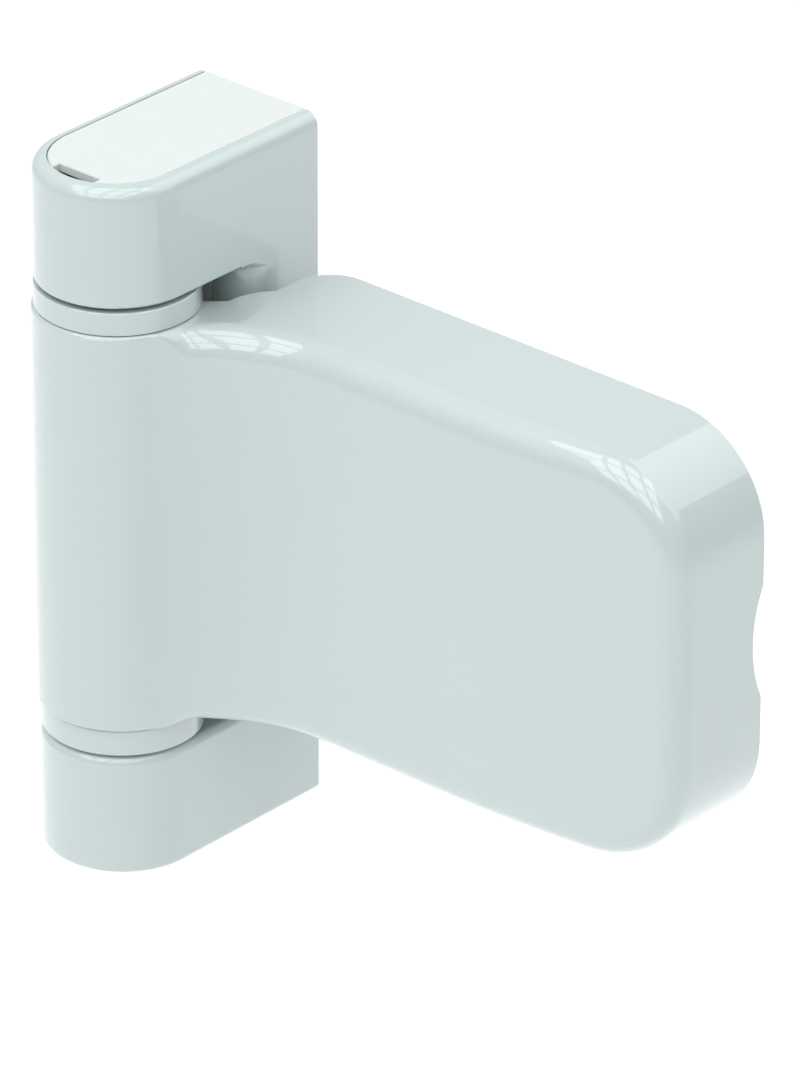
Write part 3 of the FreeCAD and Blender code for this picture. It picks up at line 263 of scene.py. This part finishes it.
class Finish:
    """One procedural material. Colour, roughness and bump vary with noise in the hinge's own frame."""

    def __init__(self, name):
        self.material = bpy.data.materials.new(name)
        self.material.use_nodes = True
        self.tree = self.material.node_tree
        self.shader = self.tree.nodes["Principled BSDF"]
        self.place = self.tree.nodes.new("ShaderNodeTexCoord").outputs["Object"]

    def link(self, source, target):
        self.tree.links.new(source, target)

    def noise(self, feature, detail=2.0, shape=ALL_WAYS):
        """Noise with features about so many millimetres wide, times shape along each axis."""
        mapping = self.tree.nodes.new("ShaderNodeMapping")
        mapping.inputs["Scale"].default_value = [1 / part for part in shape]
        texture = self.tree.nodes.new("ShaderNodeTexNoise")
        texture.inputs["Scale"].default_value = MILLIMETRES / feature
        texture.inputs["Detail"].default_value = detail
        self.link(self.place, mapping.inputs["Vector"])
        self.link(mapping.outputs["Vector"], texture.inputs["Vector"])
        return texture.outputs["Fac"]

    def cells(self, feature):
        """Distance to the nearest cell centre, for cells about so many millimetres wide."""
        texture = self.tree.nodes.new("ShaderNodeTexVoronoi")
        texture.inputs["Scale"].default_value = MILLIMETRES / feature
        self.link(self.place, texture.inputs["Vector"])
        return texture.outputs["Distance"]

    def color(self, pattern, first, second):
        mix = self.tree.nodes.new("ShaderNodeMix")
        mix.data_type = "RGBA"
        mix.inputs["A"].default_value = (*first, 1)
        mix.inputs["B"].default_value = (*second, 1)
        self.link(pattern, mix.inputs["Factor"])
        self.link(mix.outputs["Result"], self.shader.inputs["Base Color"])

    def roughness(self, pattern, low, high):
        scale = self.tree.nodes.new("ShaderNodeMapRange")
        scale.inputs["From Min"].default_value = NOISE_LOW
        scale.inputs["From Max"].default_value = NOISE_HIGH
        scale.inputs["To Min"].default_value = low
        scale.inputs["To Max"].default_value = high
        self.link(pattern, scale.inputs["Value"])
        self.link(scale.outputs["Result"], self.shader.inputs["Roughness"])

    def bump(self, pattern, height):
        """A bump so many millimetres high, on top of the bump that was there before."""
        bump = self.tree.nodes.new("ShaderNodeBump")
        bump.inputs["Strength"].default_value = 1.0
        bump.inputs["Distance"].default_value = height / MILLIMETRES
        self.link(pattern, bump.inputs["Height"])
        normal = self.shader.inputs["Normal"]
        if normal.is_linked:
            self.link(normal.links[0].from_socket, bump.inputs["Normal"])
        self.link(bump.outputs["Normal"], normal)

    def clear_coat(self, roughness):
        """A clear glossy top layer."""
        self.shader.inputs["Coat Weight"].default_value = 1.0
        self.shader.inputs["Coat Roughness"].default_value = roughness
        self.shader.inputs["Coat IOR"].default_value = GLOSS_IOR

    def metal(self):
        self.shader.inputs["Metallic"].default_value = 1.0


def powder_coat():
    """Glossy white powder coat: the faint orange peel of a coat that has flowed out."""
    finish = Finish("white_powder_coat")
    finish.color(finish.noise(9.0), first=(0.409, 0.483, 0.479), second=(0.422, 0.494, 0.490))
    finish.roughness(finish.noise(4.0), low=0.30, high=0.38)
    finish.bump(finish.noise(1.4, detail=0.0), height=0.0008)
    finish.clear_coat(roughness=0.015)
    return finish.material


def glossy_plastic():
    """Glossy moulded plastic: nearly a mirror, with a slow ripple from the mould."""
    finish = Finish("white_glossy_plastic")
    finish.color(finish.noise(14.0), first=(0.419, 0.489, 0.485), second=(0.426, 0.496, 0.491))
    finish.roughness(finish.noise(5.0), low=0.29, high=0.35)
    finish.bump(finish.noise(6.0, detail=0.0), height=0.001)
    finish.bump(finish.noise(0.25, detail=1.0), height=0.0001)
    finish.clear_coat(roughness=0.01)
    return finish.material


def satin_plastic(name, first, second):
    """Satin plastic with a fine spark-eroded grain."""
    finish = Finish(name)
    finish.color(finish.noise(8.0), first, second)
    finish.roughness(finish.noise(1.5), low=0.38, high=0.50)
    finish.bump(finish.noise(0.18), height=0.0035)
    return finish.material


def zinc_casting():
    """Tumbled die casting: cloudy grey with flow marks and a fine pitted grain."""
    finish = Finish("zinc_casting")
    finish.color(finish.noise(5.0, detail=4.0), first=(0.44, 0.45, 0.46), second=(0.62, 0.63, 0.64))
    finish.roughness(finish.noise(2.0, detail=3.0), low=0.32, high=0.55)
    finish.bump(finish.noise(0.35, detail=3.0), height=0.012)
    finish.metal()
    return finish.material


def steel(name, shade, low, high, marks):
    """Steel with fine tool marks that run as marks says; low and high are its roughness."""
    finish = Finish(name)
    pattern = finish.noise(0.12, shape=marks)
    finish.color(finish.noise(3.0, detail=3.0), [STEEL_DULLING * part for part in shade], shade)
    finish.roughness(pattern, low, high)
    finish.bump(pattern, height=0.0025)
    finish.metal()
    return finish.material


def rubber():
    finish = Finish("black_rubber")
    finish.color(finish.noise(4.0, detail=3.0), first=(0.022, 0.022, 0.023), second=(0.040, 0.040, 0.041))
    finish.roughness(finish.noise(1.0, detail=3.0), low=0.62, high=0.82)
    finish.bump(finish.noise(0.2, detail=3.0), height=0.01)
    return finish.material


def foam():
    """Closed-cell foam: small round cells, each a shallow pit."""
    finish = Finish("grey_foam")
    cells = finish.cells(0.45)
    finish.color(cells, first=(0.24, 0.25, 0.26), second=(0.40, 0.41, 0.42))
    finish.roughness(finish.noise(0.8), low=0.80, high=0.95)
    finish.bump(cells, height=0.08)
    return finish.material


def dress(nodes, material):
    for node in nodes:
        slots = NODES[node].data.materials
        slots.clear()
        slots.append(material)


def dress_painted_and_plastic_parts():
    dress(("frame_bracket", "sash_arm"), powder_coat())
    dress(("sash_cover", "upper_bearing_ring", "lower_bearing_ring"), glossy_plastic())
    # The caps' own paler satin plastic. The cover strip wears it as painted light: the strip sits in shade
    # in the recess, and the paler colour stands in for light that does not reach it.
    cap_plastic_and_strip_painted_light = satin_plastic("white_cap_plastic_and_strip_painted_light", first=(0.531, 0.566, 0.554), second=(0.541, 0.576, 0.564))
    dress(("top_cap_plate", "bottom_cap_plate", "web_cover_strip"), cap_plastic_and_strip_painted_light)
    liner = satin_plastic("dark_bearing_plastic", first=(0.10, 0.10, 0.11), second=(0.14, 0.14, 0.15))
    dress(("barrel_liner",), liner)


def dress_metal_parts():
    dress(("upper_eccentric_bush", "lower_eccentric_bush", "base_plate"), zinc_casting())
    ground = steel("ground_steel", GROUND_SHADE, low=0.16, high=0.26, marks=MARKS_UPRIGHT)
    dress(("hinge_pin",), ground)
    upright = steel("plated_steel_upright", PLATED_SHADE, low=0.22, high=0.36, marks=MARKS_UPRIGHT)
    dress(("height_screw",), upright)
    level = steel("plated_steel_level", PLATED_SHADE, low=0.22, high=0.36, marks=MARKS_LEVEL)
    dress(("lateral_screw",), level)
    clamp = steel("plated_steel_clamp", PLATED_SHADE, low=0.22, high=0.36, marks=MARKS_CLAMP)
    dress(("clamp_screws", "clamp_washers"), clamp)
    spring = steel("spring_steel", SPRING_SHADE, low=0.30, high=0.45, marks=ALL_WAYS)
    dress(("upper_circlip", "lower_circlip", "screw_clip", "spring_washers"), spring)


def dress_rubber_and_foam_parts():
    dress(("cover_grommets", "door_seal"), rubber())
    dress(("frame_seal",), foam())


dress_painted_and_plastic_parts()
dress_metal_parts()
dress_rubber_and_foam_parts()
bpy.context.scene.view_settings.view_transform = "Standard"
add_camera()
add_studio()
